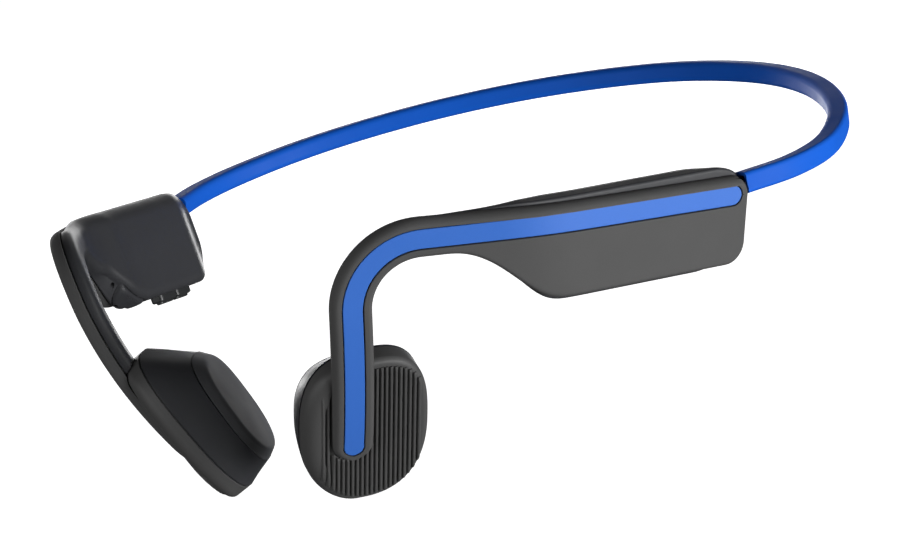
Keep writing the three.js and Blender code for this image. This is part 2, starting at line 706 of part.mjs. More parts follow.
const headphones = new THREE.Group();
headphones.position.set(0, -CENTRE_Y, -CENTRE_Z);

function addPart(name, finish, geometry) {
  const mesh = new THREE.Mesh(geometry, new THREE.MeshStandardMaterial(FINISH[finish]));
  mesh.name = name;
  headphones.add(mesh);
}

// The same piece on the wearer's right is its mirror image.
function handed(side, geometry) {
  if (side === 'left') return geometry;
  const other = geometry.clone().scale(-1, 1, 1);
  return other.index ? flip(other) : flip(mergeVertices(other, 1e-4));
}

function addArm(side) {
  const add = (name, finish, geometry) => addPart(`${side}_${name}`, finish, handed(side, geometry));
  const envelope = unitEnvelope();
  const cavity = podCavity();
  const controls = side === 'right' ? [portOpening(), buttonOpening()] : [];
  const pocket = stripeBody(GAP, -STRIPE_DEPTH - GAP, 1);
  add('outer_shell', 'face', cut(outerShellBody(), pocket, cavity, bandHole(), envelope));
  add('stripe_inlay', 'stripe', stripeBody(0, -STRIPE_DEPTH, 0));
  const openings = [cavity, wireGroove(), bandHole(), envelope, microphoneBore(), ...controls];
  add('inner_shell', 'shell', cut(innerShellBody(), ...openings));
  add('hook_core_wire', 'steel', hookWire(0.65, CORE_RADIUS));
  add('hook_cable', 'wire', hookWire(-0.65, CABLE_RADIUS));
  add('band_anchor', 'steel', bandAnchor());
  add('transducer_housing', 'shell', housing());
  add('contact_pad', 'pad', contactPad());
  add('spring_plate', 'steel', turned(ring(SPRING_PLATE)));
  add('voice_coil', 'copper', turned(ring(VOICE_COIL)));
  add('magnet', 'magnet', turned(disc(MAGNET)));
  add('magnet_yoke', 'steel', turned(cup(YOKE)));
  const plate = [BACK_PLATE.low, BACK_PLATE.high].map((z) => roundedOutline(BACK_PLATE.half, z, 0, 24));
  add('transducer_back_plate', 'shell', inUnit(loft(plate)));
}

addArm('left');
addArm('right');

addPart('left_multifunction_button', 'ribbed', capBody());
addPart('multifunction_switch', 'button', inUnit(box(CAP_SWITCH.size, CAP_SWITCH.at)));
addPart('battery', 'cell', inPod(box(BATTERY.size, BATTERY.at)));
addPart('battery_board', 'board', inPod(box(BATTERY_BOARD.size, BATTERY_BOARD.at)));

addPart('right_ribbed_cap', 'ribbed', handed('right', capBody()));
addPart('main_board', 'board', handed('right', inPod(box(MAIN_BOARD.size, MAIN_BOARD.at))));
addPart('charging_port', 'steel', handed('right', chargingPort()));
addPart('charging_port_cover', 'button', handed('right', portCover()));
addPart('microphone', 'steel', handed('right', microphone()));
BUTTONS.forEach((button) => {
  addPart(`${button.name}_button`, 'button', handed('right', volumeButton(button)));
  addPart(`${button.name}_switch`, 'steel', handed('right', volumeSwitch(button)));
});

addPart('neckband_sleeve_left', 'band', sleeve(0, FLEX_FROM - SEAM, 15));
addPart('neckband_flex_section', 'band', sleeve(FLEX_FROM, 1 - FLEX_FROM, 4));
addPart('neckband_sleeve_right', 'band', sleeve(1 - FLEX_FROM + SEAM, 1, 15));
addPart('neckband_core_wire', 'steel', bandWire(-WIRE_OFFSET, CORE_RADIUS));
addPart('neckband_cable', 'wire', bandWire(WIRE_OFFSET, CABLE_RADIUS));

export default headphones;
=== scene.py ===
"""Open-ear bone conduction headphones: the looks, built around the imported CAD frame.

Shapes are worked out in millimetres in the arm's own frame, as the CAD part does, and turned into
metres in the frame's axes when a mesh is made.
"""

import json
import math

import bmesh
import bpy
import numpy as np
from mathutils import Matrix, Vector


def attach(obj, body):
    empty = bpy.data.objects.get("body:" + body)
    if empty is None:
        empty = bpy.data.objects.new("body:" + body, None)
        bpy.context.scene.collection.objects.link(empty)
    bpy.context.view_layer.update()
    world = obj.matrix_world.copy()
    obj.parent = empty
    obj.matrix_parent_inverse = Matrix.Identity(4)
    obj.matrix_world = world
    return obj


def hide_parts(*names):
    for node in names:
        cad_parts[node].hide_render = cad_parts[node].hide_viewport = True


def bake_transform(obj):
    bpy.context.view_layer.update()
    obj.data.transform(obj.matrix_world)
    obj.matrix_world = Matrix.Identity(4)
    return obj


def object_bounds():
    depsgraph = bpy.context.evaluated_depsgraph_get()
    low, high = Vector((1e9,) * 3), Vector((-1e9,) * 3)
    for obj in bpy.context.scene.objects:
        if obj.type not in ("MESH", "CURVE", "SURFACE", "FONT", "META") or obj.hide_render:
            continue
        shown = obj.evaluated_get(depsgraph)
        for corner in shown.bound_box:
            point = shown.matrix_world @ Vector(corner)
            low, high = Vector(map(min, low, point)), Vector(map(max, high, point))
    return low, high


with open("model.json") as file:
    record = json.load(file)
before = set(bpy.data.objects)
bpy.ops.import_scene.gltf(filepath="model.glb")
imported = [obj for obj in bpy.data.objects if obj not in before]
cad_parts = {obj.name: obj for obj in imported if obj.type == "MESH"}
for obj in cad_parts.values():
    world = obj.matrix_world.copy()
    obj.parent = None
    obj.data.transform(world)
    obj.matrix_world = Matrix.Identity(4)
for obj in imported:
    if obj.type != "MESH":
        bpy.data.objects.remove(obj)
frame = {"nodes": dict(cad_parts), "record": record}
cad_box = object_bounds()

# ---- Driving dimensions, in millimetres and degrees ----------------------------------------------

CENTRE = np.array([0, 67.76, -15.63])  # the frame's origin, seen from the arm's
MIRROR = np.array([-1, 1, 1])  # from the wearer's left to the right
GAP = 0.3
SEAM = 0.17  # the fine gap that shows between neighbouring mouldings

HOOK_X = 32.7
HOOK_HEADING, POD_HEADING = math.radians(40.1), math.radians(17)
TURN = (22.6, 41)
HOOK_TILT, POD_TILT = math.radians(17.2), math.radians(14.7)
LEAN_START, LEAN = 9, 0.0068

BEND_FRONT = -0.5
BEND_RADIUS = 11.4
DROP_LENGTH = 28.7
DROP_LEAN, REAR_FALL = math.radians(1.6), math.radians(2.8)
STRAP_HALF = 3.3
TOP_HALF, TOP_NARROWS = (3.5, 3.2, 2.85), (30, 46, 66)  # on the strap's outer or upper side, by station
OUTER_SKIN = 2.2
STRAP_THICKNESS = 4.4

POD_END = 72.5
POD_SWOOP = (14.8, 37.5)
POD_DROP, POD_TAPER = 9.55, 0.0245
POD_THICKNESS = 7.5
POD_SWELL = (20, 36)
POD_TAIL = (62, 72.5)
POD_TAIL_RISE = 3.2
TAIL_LOW_RADIUS, TAIL_HIGH_RADIUS = 3, 1.8
INNER_SHELL_START = 11
HUMP, HUMP_RISE = (-0.4, 0.5, 0.65, 1.4), (15, 28, 36, 66)  # the inner shell over the outer one
BELLY, BELLY_RISE = 1, (24, 38)  # and below it
FACET_LIFT = 2
FACET_RISE, FACET_FADE = (24, 28.5), (31.5, 43)
STRAP_ROUND, POD_ROUND = (2.4, 1.75), (3.0, 3.2)  # the inner shell's upper edge, across and in depth
LOW_ROUND = 1.6
FACE_ROUND = {"top": (1.25, 1.95), "low": (0.9, 1.1)}  # the outer shell's edges, across and in depth
TAIL_BELLY, TAIL_HUMP = (8, 6), (5, 2.6)  # length and height of the inner shell's rear corners
WALL = 1.4
CAVITY = (31, 69.5)

STRIPE_HALF, STRIPE_DEPTH, STRIPE_INSET = 1.63, 0.75, 1.2
STRIPE_SINK, STRIPE_EDGE = 0.14, 0.16  # below the face, and how far its edges are rounded
GROOVE_LIP = 0.1

UNIT_CENTRE = (20.7, 12.2, -31.6)
UNIT_HEADING, UNIT_TILT, UNIT_ROLL = (math.radians(a) for a in (30.9, 31.7, 3.3))
ROUNDNESS = (2.4, 2.8)  # exponents of the outline's lower and upper half
CAP_HALF, CAP_DEPTH = (10.6, 14.4), 3.6
CAP_ROUND, FRONT_ROUND = 1.1, 2.7  # the cap's rolled rim, and the same at its front
FACE_DEPTH, FACE_HALF, FACE_DROP = 11.4, (8.1, 8.8), -2.72
HOUSING_WALL = 1.3
RIB_PITCH, RIB_WIDTH, RIB_HEIGHT = 0.82, 0.6, 0.42
RIB_FIELD = {"x": 0.5, "y": -0.2, "half": (9.7, 13.1), "each_side": 10}
STRAP_TIP = {"x": -3.02, "y": -0.9, "radius": 3.8}
DISH = {"depth": 0.4, "front": (-8.8, -7.0), "back": (-5.6, -6.6), "low": (-9, -3)}
LIP, LIP_DEPTH, NECK_PLAY = 0.2, 0.35, 0.05  # the cap's thin skirt round the housing's neck
CAP_ROOF = 1.6  # from the cap's face to the hollow under it
FACE_TILT = -0.06  # the face that rests on the cheek leans deeper towards its top

BAND_RADIUS, BAND_BORE, BAND_CORNER = 1.8, 1.25, 1.1
BAND_ENTRY = (-1.75, -2.2)
BAND_KNOTS = [
    (66.0, 74.3, -0.1),
    (66.0, 84.6, 1.4),
    (61.4, 96.7, 3.7),
    (53.9, 107.6, 5.8),
    (42.7, 118.5, 7.8),
    (29.6, 126.9, 9.2),
    (15.1, 132.3, 10.0),
]
BAND_BACK = (0, 134.2, 10.3)
WIRE_OFFSET, CORE_RADIUS, CABLE_RADIUS = 0.5, 0.4, 0.35

PORT = {"u": 36.2, "w": -4.4, "width": 10.2, "depth": 3.3, "thickness": 0.95, "proud": 0.4}
MICROPHONE = {"u": 29.8, "w": -4.4, "end": (31.4, -4.6, -4.4), "radius": 0.45}
BUTTONS = {"volume_down": (50.05, 6.1), "volume_up": (56.3, 5.6)}
BUTTON_W, BUTTON_DEPTH, BUTTON_PROUD = -4.6, 2.5, 1.3

# ---- Camera, light and floor ---------------------------------------------------------------------

CAMERA = {
    "azimuth": 39.40,
    "elevation": 7.305,
    "roll": -7.663,
    "distance": 0.6754,
    "lens": 167.27,
    "aside": 0.04094,  # from the arm's own origin to the point looked at, across and down the view
    "down": 0.00239,
}


def view_axes():
    """The camera's right, up and forward."""
    a, e, r = (math.radians(CAMERA[k]) for k in ("azimuth", "elevation", "roll"))
    ahead = Vector((-math.sin(a) * math.cos(e), math.cos(a) * math.cos(e), -math.sin(e)))
    level = ahead.cross(Vector((0, 0, 1))).normalized()
    above = level.cross(ahead)
    right = math.cos(r) * level + math.sin(r) * above
    up = -math.sin(r) * level + math.cos(r) * above
    return right, up, ahead


def make_camera():
    right, up, ahead = view_axes()
    aim = CAMERA["aside"] * right - CAMERA["down"] * up - Vector(CENTRE / 1000)
    camera = bpy.data.objects.new("camera", bpy.data.cameras.new("camera"))
    bpy.context.collection.objects.link(camera)
    turn = Matrix((right, up, -ahead)).transposed().to_4x4()
    camera.matrix_world = Matrix.Translation(aim - CAMERA["distance"] * ahead) @ turn
    camera.data.lens = CAMERA["lens"]
    camera.data.sensor_width = 36
    camera.data.clip_start = 0.01
    bpy.context.scene.camera = camera


LIGHT_DISTANCE = 1.0
LIGHTS = {  # azimuth and elevation in degrees, width and height in metres, power in watts
    "key": (94, -13, (0.7, 0.3), 11.6),
    "side": (118, 22, (0.5, 0.4), 2.0),
    "fill": (-15, 0, (1.0, 0.5), 4.4),
    "back": (225, 28, (0.7, 0.4), 0.5),
    "rear": (228, 2, (0.9, 0.4), 6.0),
}
AMBIENT = 0.05
FLOOR_REACH, FLOOR_GLOW = 12, 0.97


def area_light(name, azimuth, elevation, size, power):
    """A softbox that looks at the object from this direction."""
    a, e = math.radians(azimuth), math.radians(elevation)
    back = Vector((math.sin(a) * math.cos(e), -math.cos(a) * math.cos(e), math.sin(e)))
    light = bpy.data.objects.new(name, bpy.data.lights.new(name, "AREA"))
    light.data.shape = "RECTANGLE"
    light.data.size, light.data.size_y = size
    light.data.energy = power
    light.location = back * LIGHT_DISTANCE
    light.rotation_mode = "QUATERNION"
    light.rotation_quaternion = (-back).to_track_quat("-Z", "Y")
    bpy.context.collection.objects.link(light)


def make_stage():
    for name, setting in LIGHTS.items():
        area_light(name, *setting)
    world = bpy.data.worlds.new("studio")
    world.use_nodes = True
    world.node_tree.nodes["Background"].inputs["Color"].default_value = (1, 1, 1, 1)
    world.node_tree.nodes["Background"].inputs["Strength"].default_value = AMBIENT
    bpy.context.scene.world = world
    bpy.context.scene.view_settings.view_transform = "Standard"
    mesh = bpy.data.meshes.new("floor")
    corners = [(x * FLOOR_REACH, y * FLOOR_REACH, 0) for x, y in ((-1, -1), (1, -1), (1, 1), (-1, 1))]
    mesh.from_pydata(corners, [], [(0, 1, 2, 3)])
    floor = bpy.data.objects.new("floor", mesh)
    floor.location.z = cad_box[0][2]
    bpy.context.collection.objects.link(floor)
    glow = {"Emission_Strength": FLOOR_GLOW, "Emission_Color": (1, 1, 1, 1)}
    floor.data.materials.append(moulded("floor_paint", (0.8, 0.8, 0.8), 0.8, 3, 0.01, 0.01, **glow))
    # A pale backdrop only: it neither lights, mirrors in, nor shades the object.
    floor.visible_diffuse = False
    floor.visible_glossy = False
    floor.visible_shadow = False


# ---- Materials -----------------------------------------------------------------------------------


def moulded(name, colour, roughness, grain=0.2, depth=0.02, variation=0.06, **sockets):
    """A material whose colour, roughness and fine relief all vary a little.

    grain is the size of the relief's grains and depth its height, both in millimetres.
    """
    material = bpy.data.materials.new(name)
    material.use_nodes = True
    tree = material.node_tree
    shader = tree.nodes["Principled BSDF"]
    for socket, value in sockets.items():
        shader.inputs[socket.replace("_", " ")].default_value = value
    place = tree.nodes.new("ShaderNodeTexCoord").outputs["Object"]

    def noise(size, detail):
        node = tree.nodes.new("ShaderNodeTexNoise")
        node.inputs["Scale"].default_value = 1000 / size
        node.inputs["Detail"].default_value = detail
        tree.links.new(place, node.inputs["Vector"])
        return node.outputs["Fac"]

    def spread(source, low, high):
        node = tree.nodes.new("ShaderNodeMapRange")
        node.inputs["From Min"].default_value = 0.3
        node.inputs["From Max"].default_value = 0.7
        node.inputs["To Min"].default_value = low
        node.inputs["To Max"].default_value = high
        tree.links.new(source, node.inputs["Value"])
        return node.outputs["Result"]

    fine = noise(grain, 3)
    mix = tree.nodes.new("ShaderNodeMix")
    mix.data_type = "RGBA"
    dark = [c * (1 - variation) for c in colour]
    light = [min(1, c * (1 + variation)) for c in colour]
    mix.inputs["A"].default_value = (*dark, 1)
    mix.inputs["B"].default_value = (*light, 1)
    cloud = tree.nodes.new("ShaderNodeMath")
    cloud.operation = "MULTIPLY_ADD"
    tree.links.new(spread(noise(14, 2), 0, 0.5), cloud.inputs[0])
    cloud.inputs[1].default_value = 1
    tree.links.new(spread(fine, 0, 0.5), cloud.inputs[2])
    tree.links.new(cloud.outputs["Value"], mix.inputs["Factor"])
    tree.links.new(mix.outputs["Result"], shader.inputs["Base Color"])
    tree.links.new(spread(noise(5, 4), roughness - 0.04, roughness + 0.04), shader.inputs["Roughness"])
    bump = tree.nodes.new("ShaderNodeBump")
    bump.inputs["Distance"].default_value = depth / 1000
    bump.inputs["Strength"].default_value = 0.6
    tree.links.new(fine, bump.inputs["Height"])
    tree.links.new(bump.outputs["Normal"], shader.inputs["Normal"])
    return material


def make_materials():
    return {
        "face": moulded("face", (0.08, 0.08, 0.08), 0.7, 0.16, 0.012, Specular_IOR_Level=0.12),
        "shell": moulded("shell", (0.036, 0.037, 0.041), 0.45, 0.12, 0.008, Specular_IOR_Level=0.25),
        "ribbed": moulded("ribbed", (0.07, 0.07, 0.07), 0.5, 0.12, 0.01, Specular_IOR_Level=0.25),
        "stripe": moulded("stripe", (0.042, 0.155, 0.57), 0.45, 0.3, 0.002, 0.03, Specular_IOR_Level=0.22),
        "band": moulded("band", (0.008, 0.105, 0.58), 0.5, grain=0.1, depth=0.006, Specular_IOR_Level=0.08),
        "pad": moulded("pad", (0.07, 0.072, 0.077), 0.6, grain=0.1, depth=0.008, Specular_IOR_Level=0.25),
        "button": moulded("button", (0.02, 0.021, 0.022), 0.4, grain=0.12, depth=0.006),
        "steel": moulded("steel", (0.62, 0.63, 0.65), 0.28, grain=0.08, depth=0.002, Metallic=1),
        "magnet": moulded("magnet", (0.5, 0.51, 0.53), 0.2, grain=0.5, depth=0.001, Metallic=1),
        "copper": moulded("copper", (0.72, 0.34, 0.16), 0.3, grain=0.09, depth=0.02, Metallic=1),
        "board": moulded("board", (0.02, 0.12, 0.05), 0.45, grain=0.6, depth=0.02, variation=0.15),
        "cell": moulded("cell", (0.6, 0.61, 0.64), 0.35, grain=1.2, depth=0.02, Metallic=0.7),
        "wire": moulded("wire", (0.012, 0.012, 0.013), 0.45, grain=0.2, depth=0.01),
    }


# ---- Small tools ---------------------------------------------------------------------------------


def share(value, span):
    return (np.asarray(value, float) - span[0]) / (span[1] - span[0])


def smooth(t):
    t = np.clip(t, 0, 1)
    return t * t * (3 - 2 * t)


def smoother(t):
    t = np.clip(t, 0, 1)
    return t**3 * (t * (6 * t - 15) + 10)


def arc(centre, radii, start, turn=90, count=8):
    """Points round an arc, as [across, depth]; its radii may differ."""
    a, b = radii if isinstance(radii, tuple) else (radii, radii)
    angles = np.radians(np.linspace(start, start + turn, count + 1))
    return [(centre[0] + a * math.cos(t), centre[1] + b * math.sin(t)) for t in angles]


def evenly(a, b, count):
    """The points strictly between two points, with one close to each end to hold the flat flat."""
    near = 0.03
    shares = [near, *np.linspace(0, 1, count + 2)[1:-1], 1 - near]
    return [(a[0] + (b[0] - a[0]) * t, a[1] + (b[1] - a[1]) * t) for t in shares]


def place_in_frame(points, side="left"):
    """From the arm's frame in millimetres to the frame's metres, mirrored for the wearer's right."""
    points = (np.asarray(points, float) - CENTRE) / 1000
    return points * MIRROR if side == "right" else points


def make_piece(name, points, faces, material, side="left", sharp=32):
    mesh = bpy.data.meshes.new(name)
    mesh.from_pydata(place_in_frame(points, side).tolist(), [], faces)
    bm = bmesh.new()
    bm.from_mesh(mesh)
    bmesh.ops.remove_doubles(bm, verts=bm.verts, dist=1e-7)
    bmesh.ops.recalc_face_normals(bm, faces=bm.faces)
    if bm.calc_volume(signed=True) < 0:
        bmesh.ops.reverse_faces(bm, faces=bm.faces)
    bm.to_mesh(mesh)
    bm.free()
    piece = bpy.data.objects.new(name, mesh)
    bpy.context.collection.objects.link(piece)
    if material:
        mesh.materials.append(materials[material])
    soften(piece, sharp)
    return piece


def stands_for(piece, *nodes):
    """The piece takes the place of these CAD nodes, which are hidden."""
    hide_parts(*nodes)
    return piece


def soften(piece, sharp=32):
    """Smooth shading, with edges kept where the surface turns by more than this angle."""
    piece.data.shade_smooth()
    piece.data.set_sharp_from_angle(angle=math.radians(sharp))


def loft_faces(rows, count, first=0, capped=True):
    """Quads between rings of `count` points, with a face over each end."""
    faces = []
    for i in range(rows - 1):
        for j in range(count):
            k = (j + 1) % count
            a, b = first + i * count, first + (i + 1) * count
            faces.append((a + j, a + k, b + k, b + j))
    if capped:
        faces.append(tuple(range(first, first + count)))
        faces.append(tuple(range(first + (rows - 1) * count, first + rows * count)))
    return faces


def loft(name, rings, material, side="left", sharp=32):
    faces = loft_faces(len(rings), len(rings[0]))
    return make_piece(name, np.concatenate(rings), faces, material, side, sharp)


def pipe(name, outside, bore, material, sharp=32):
    """A hollow loft, open at both ends."""
    rows, count = len(outside), len(outside[0])
    inner = rows * count
    faces = loft_faces(rows, count, capped=False) + loft_faces(rows, count, inner, capped=False)
    for end in (0, (rows - 1) * count):
        for j in range(count):
            k = (j + 1) % count
            faces.append((end + j, end + k, inner + end + k, inner + end + j))
    return make_piece(name, np.concatenate([*outside, *bore]), faces, material, sharp=sharp)


def carve(piece, *tools, how="DIFFERENCE", sharp=32):
    """Cuts the tools out of a piece, or joins them to it, and leaves no modifier behind."""
    for tool in tools:
        change = piece.modifiers.new("carve", "BOOLEAN")
        change.operation = how
        change.solver = "MANIFOLD"
        change.object = tool
        bpy.context.view_layer.update()
        graph = bpy.context.evaluated_depsgraph_get()
        made = bpy.data.meshes.new_from_object(piece.evaluated_get(graph))
        piece.modifiers.clear()
        old, piece.data = piece.data, made
        bpy.data.meshes.remove(old)
        made.name = piece.name
        bpy.data.objects.remove(tool)
    soften(piece, sharp)
    return piece


# ---- Arm coordinates: u back along the arm, v up, w outwards --------------------------------------


def turn_share(u):
    return smooth(share(u, TURN))


def heading(u):
    return HOOK_HEADING + (POD_HEADING - HOOK_HEADING) * turn_share(u)


def foot(u):
    pieces = 32
    u = np.atleast_1d(np.asarray(u, float))
    angle = heading(u[:, None] * (np.arange(pieces) + 0.5) / pieces)
    x = HOOK_X + (np.sin(angle) * u[:, None]).sum(1) / pieces
    y = (np.cos(angle) * u[:, None]).sum(1) / pieces
    return np.stack([x, y, np.zeros_like(x)], 1)


def arm_axes(u):
    u = np.atleast_1d(np.asarray(u, float))
    angle, tilt = heading(u), HOOK_TILT + (POD_TILT - HOOK_TILT) * turn_share(u)
    zero = np.zeros_like(angle)
    along = np.stack([np.sin(angle), np.cos(angle), zero], 1)
    level = np.stack([np.cos(angle), -np.sin(angle), zero], 1)
    high = np.array([[0, 0, 1]])
    up = level * np.sin(tilt)[:, None] + high * np.cos(tilt)[:, None]
    out = level * np.cos(tilt)[:, None] - high * np.sin(tilt)[:, None]
    return along, up, out


def arm_point(u, v, w):
    u, v, w = (np.atleast_1d(np.asarray(x, float)) for x in (u, v, w))
    _, up, out = arm_axes(u)
    below = np.maximum(0, -v - LEAN_START) * np.clip((30 - u) / 18, 0, 1)
    depth = w - LEAN * below**2
    return foot(u) + up * v[:, None] + out * depth[:, None]


BEND_START = math.pi - DROP_LEAN
BEND_END = math.pi / 2 - REAR_FALL
REAR_START = DROP_LENGTH + BEND_RADIUS * (BEND_START - BEND_END)


def strap_at(s):
    """Where the strap's line is at s, from its lower tip round the bend to the pod's end."""
    angle = BEND_START - min(max((s - DROP_LENGTH) / BEND_RADIUS, 0), BEND_START - BEND_END)
    straight = s - DROP_LENGTH if s < DROP_LENGTH else max(0, s - REAR_START)
    across = (math.cos(angle), math.sin(angle))
    u = BEND_FRONT + BEND_RADIUS * (1 + across[0]) + across[1] * straight
    v = BEND_RADIUS * (across[1] - 1) - across[0] * straight
    return u, v, across


REAR_U = strap_at(REAR_START)[0]


def s_at(u):
    return REAR_START + (u - REAR_U) / math.cos(REAR_FALL)


STRAP_END = s_at(POD_END)


def line_height(u):
    return strap_at(s_at(u))[1]


def lower_reach(u):
    return STRAP_HALF + POD_DROP * smoother(share(u, POD_SWOOP)) - POD_TAPER * max(0, u - POD_SWOOP[1])


def top_reach(s):
    return float(np.interp(s, TOP_NARROWS, TOP_HALF))


def belly(u):
    return BELLY * smooth(share(u, BELLY_RISE))


def hump(u):
    return float(np.interp(u, HUMP_RISE, HUMP))


def facet_lift(u):
    return FACET_LIFT * smooth(share(u, FACET_RISE)) * (1 - smooth(share(u, FACET_FADE)))


def inner_depth(u):
    swell = (POD_THICKNESS - STRAP_THICKNESS) * smooth(share(u, POD_SWELL))
    return -STRAP_THICKNESS - swell + POD_TAIL_RISE * smooth(share(u, POD_TAIL))


def reach_at(s):
    return STRAP_HALF if s < REAR_START else lower_reach(strap_at(s)[0])


def depth_at(s):
    return -STRAP_THICKNESS if s < REAR_START else inner_depth(strap_at(s)[0])


def end_rounding(distance, radius, height=None):
    """What a round end takes off a half width at this distance from the end."""
    inside = 1 - min(max(distance / radius, 0), 1)
    return (height or radius) * (1 - math.sqrt(1 - inside * inside))


def strap_ring(s, outline):
    u, v, across = strap_at(s)
    outline = np.asarray(outline, float)
    return arm_point(u + outline[:, 0] * across[0], v + outline[:, 0] * across[1], outline[:, 1])


def round_stations(start, radius, backwards=False, count=12):
    """Stations crowded towards a round end."""
    steps = radius * (1 - np.cos(np.linspace(0.05, math.pi / 2, count)))
    return list(start - steps) if backwards else list(start + steps)


def stations(start, end, step=0.7):
    """Even stations strictly between two places."""
    return [s for s in np.arange(start, end, step) if start < s < end]


# ---- Shell sections ------------------------------------------------------------------------------


def section(low, high, inner, outer, low_inner, high_inner, outer_round, lift=0, flats=6, count=8):
    """A rounded outline as [across, depth], each corner with its own radii."""
    across, depth = (high - low - lift) * 0.49, outer - inner
    outer_round = min(outer_round, depth * 0.2)
    corners = [
        (low + lift, 1, inner, 1, low_inner, 180),
        (high, -1, inner, 1, high_inner, 270),
        (high, -1, outer, -1, outer_round, 0),
        (low, 1, outer, -1, outer_round, 90),
    ]
    rounds = []
    for a, a_side, w, w_side, wanted, start in corners:
        wide, deep = wanted if isinstance(wanted, tuple) else (wanted, wanted)
        radii = (min(wide, across), min(deep, depth * 0.78 if start in (180, 270) else deep))
        rounds.append(arc((a + a_side * radii[0], w + w_side * radii[1]), radii, start, count=count))
    outline = []
    for i, points in enumerate(rounds):
        outline += points + evenly(points[-1], rounds[(i + 1) % 4][0], flats)
    return outline


def face_section(low, high, groove, sink):
    """The outer shell's outline, with the inlay's groove of this half width and depth in its face."""
    inner, outer, lip = -OUTER_SKIN, 0, min(GROOVE_LIP, sink)
    back = 0.12
    top, bottom = ((min(a, (high - low) * 0.45), b) for a, b in (FACE_ROUND["top"], FACE_ROUND["low"]))
    corners = [
        arc((low + back, inner + back), back, 180, count=2),
        arc((high - back, inner + back), back, 270, count=2),
        arc((high - top[0], outer - top[1]), top, 0, count=12),
    ]
    steps = []
    for side in (1, -1):
        wall = [(groove + lip, outer)]
        wall += [(groove + lip * (1 - math.sin(t)), outer - lip * (1 - math.cos(t))) for t in (0.5, 1.05)]
        wall += [(groove, outer - lip), (groove - 0.01, outer - sink), (groove * 0.6, outer - sink)]
        wall = [(a * side, w) for a, w in wall]
        steps += wall if side == 1 else wall[::-1]
    rim = arc((low + bottom[0], outer - bottom[1]), bottom, 90)
    outline = corners[0] + evenly(corners[0][-1], corners[1][0], 6) + corners[1]
    outline += evenly(corners[1][-1], corners[2][0], 1) + corners[2]
    outline += evenly(corners[2][-1], steps[0], 4) + steps + evenly(steps[-1], rim[0], 6) + rim
    return outline + evenly(rim[-1], corners[0][0], 1)


def face_shell(side):
    """The flat outer shell with its rounded rim and the groove that the inlay lies in."""
    half = STRIPE_HALF + SEAM
    first, last = STRIPE_INSET - SEAM, STRAP_END - STRIPE_INSET + SEAM
    places = round_stations(0, STRAP_HALF, count=14) + round_stations(first, half)
    places += stations(STRAP_HALF + 0.2, STRAP_END - 3.2)
    places += round_stations(STRAP_END, TAIL_LOW_RADIUS, True, 14) + round_stations(last, half, True)
    rings = []
    for s in sorted(places):
        tip, tail = end_rounding(s, STRAP_HALF), STRAP_END - s
        low = -reach_at(s) + tip + end_rounding(tail, TAIL_LOW_RADIUS)
        high = top_reach(s) - tip - end_rounding(tail, TAIL_HIGH_RADIUS)
        inside = first <= s <= last
        width = half - end_rounding(s - first, half) - end_rounding(last - s, half) if inside else 0
        sink = STRIPE_DEPTH + SEAM if inside else 0
        rings.append(strap_ring(s, face_section(low, high, max(width, 0.03), sink)))
    piece = loft(f"{side}_face_shell", rings, "face", side)
    carve(piece, unit_envelope(side), cavity(side), band_hole(side))
    stands_for(ride(piece, side), f"{side}_outer_shell")


def inlay(side):
    """The blue inlay, a hair below the face, with softened edges and round ends."""
    first, last = STRIPE_INSET, STRAP_END - STRIPE_INSET
    places = round_stations(first, STRIPE_HALF) + round_stations(last, STRIPE_HALF, True)
    places += stations(first + STRIPE_HALF, last - STRIPE_HALF)
    rings = []
    for s in sorted(places):
        width = STRIPE_HALF - end_rounding(s - first, STRIPE_HALF) - end_rounding(last - s, STRIPE_HALF)
        depths = (-STRIPE_DEPTH, -STRIPE_SINK)
        outline = section(-width, width, *depths, 0.05, 0.05, STRIPE_EDGE, flats=4, count=4)
        rings.append(strap_ring(s, outline))
    piece = loft(f"{side}_inlay", rings, "stripe", side)
    stands_for(ride(piece, side), f"{side}_stripe_inlay")


def body_section(s):
    """The inner shell's outline: humped over the outer shell, fuller below it, faceted in front."""
    u = strap_at(s)[0] if s >= REAR_START else 0
    tail = STRAP_END - s
    low = -reach_at(s) - belly(u) + end_rounding(tail, *TAIL_BELLY)
    high = top_reach(s) + hump(u) - end_rounding(tail, *TAIL_HUMP)
    deeper = smooth(share(u, POD_SWELL))
    edge = tuple(a + (b - a) * deeper for a, b in zip(STRAP_ROUND, POD_ROUND))
    parting = 0.1 + 0.35 * deeper
    outer = -OUTER_SKIN - SEAM
    return section(low, high, depth_at(s), outer, LOW_ROUND, edge, parting, facet_lift(u), flats=9)


def body_shell(side):
    """The inner shell: hook and pod in one moulding."""
    places = stations(INNER_SHELL_START, STRAP_END - 3.2)
    places += round_stations(STRAP_END, TAIL_LOW_RADIUS, True, 14)
    rings = [strap_ring(s, body_section(s)) for s in sorted(places)]
    piece = loft(f"{side}_body_shell", rings, "shell", side)
    tools = [unit_envelope(side), cavity(side), band_hole(side), wire_groove(side), microphone_bore(side)]
    if side == "right":
        tools += [port_block("port_cut", SEAM, -2, 3.4), button_slot()]
    carve(piece, *tools)
    stands_for(ride(piece, side), f"{side}_inner_shell")


def cavity(side):
    """The room for the electronics, shared by both shells."""
    rings = []
    for u in np.linspace(*CAVITY, 30):
        low = WALL + facet_lift(u) / 2 - lower_reach(u)
        outline = section(low, 2, inner_depth(u) + 1.1, -WALL, 0.2, 0.2, 0.2, flats=1, count=2)
        rings.append(strap_ring(s_at(u), outline))
    return loft("cavity_cut", rings, None, side)


def wire_groove(side):
    outline = section(-1.4, 1.4, -3.6, -OUTER_SKIN + 0.1, 0.1, 0.1, 0.1, flats=1, count=2)
    places = stations(10, s_at(CAVITY[0] + 1))
    return loft("groove_cut", [strap_ring(s, outline) for s in places], None, side)


# ---- Transducer, in its own frame: x back, y up, z outwards ---------------------------------------


